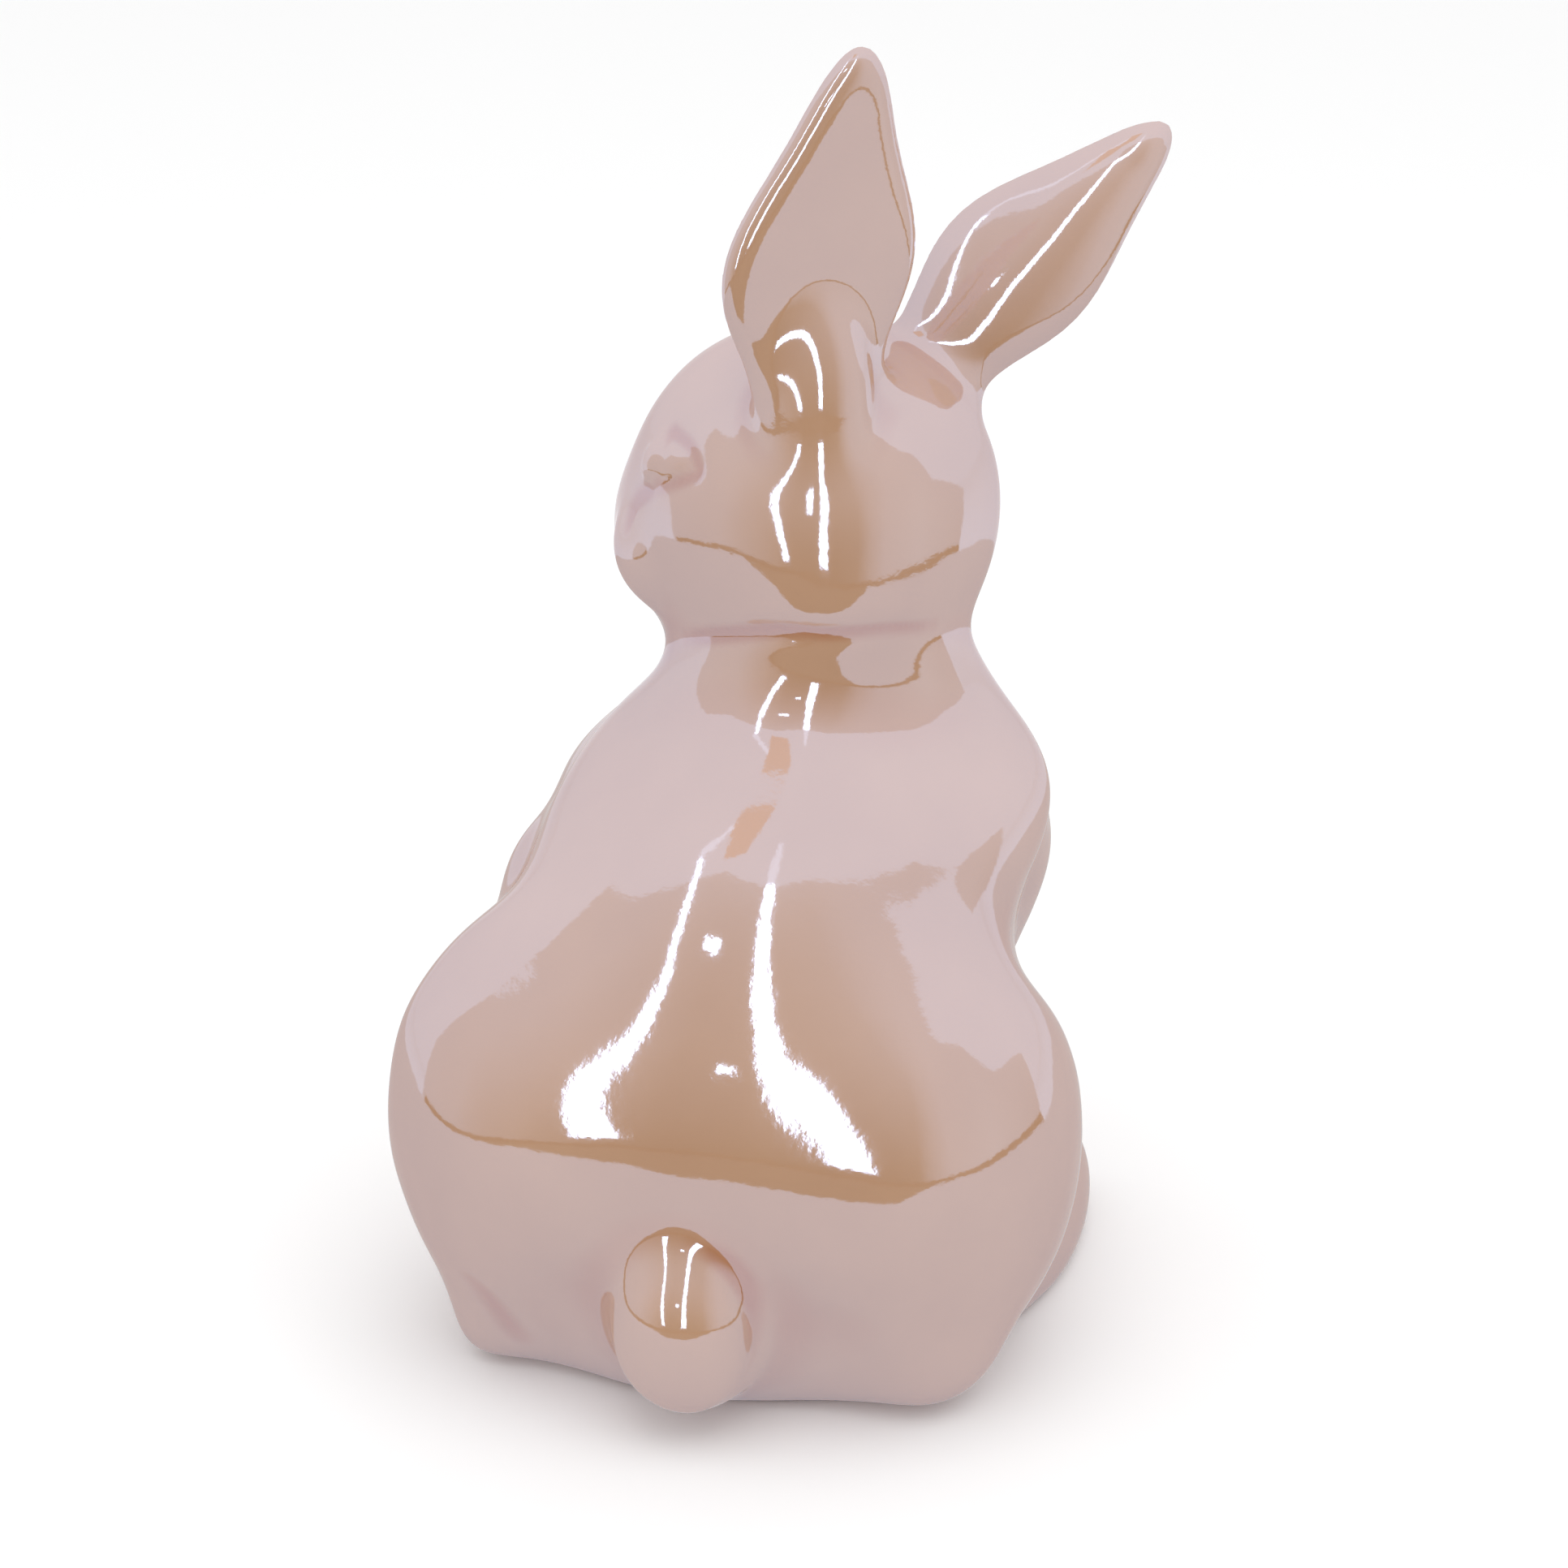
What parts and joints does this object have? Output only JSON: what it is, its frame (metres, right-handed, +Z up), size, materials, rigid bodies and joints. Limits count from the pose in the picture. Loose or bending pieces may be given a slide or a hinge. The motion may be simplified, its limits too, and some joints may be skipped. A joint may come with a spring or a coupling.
{
  "type": "ceramic rabbit figurine",
  "caption": "Sitting rabbit ornament in pearly pink glaze, head turned to its left, one ear upright and one cocked out, resting on a flat base.",
  "frame": {"origin": "on the flat base, on the mid-plane of the body, between the haunches", "axes": "+Z up, -Y the way the rabbit's body faces, +X the rabbit's own left"},
  "size_m": [0.0956, 0.1049, 0.1775],
  "materials": {
    "glaze": "glossy pearl lustre over a pale pink glaze, mirror-bright and faintly metallic"
  },
  "bodies": {
    "root": {"body": "glaze", "head": "glaze", "left_ear": "glaze", "right_ear": "glaze", "left_foreleg": "glaze", "right_foreleg": "glaze", "left_hind_foot": "glaze", "right_hind_foot": "glaze", "tail": "glaze"}
  },
  "joints": []
}
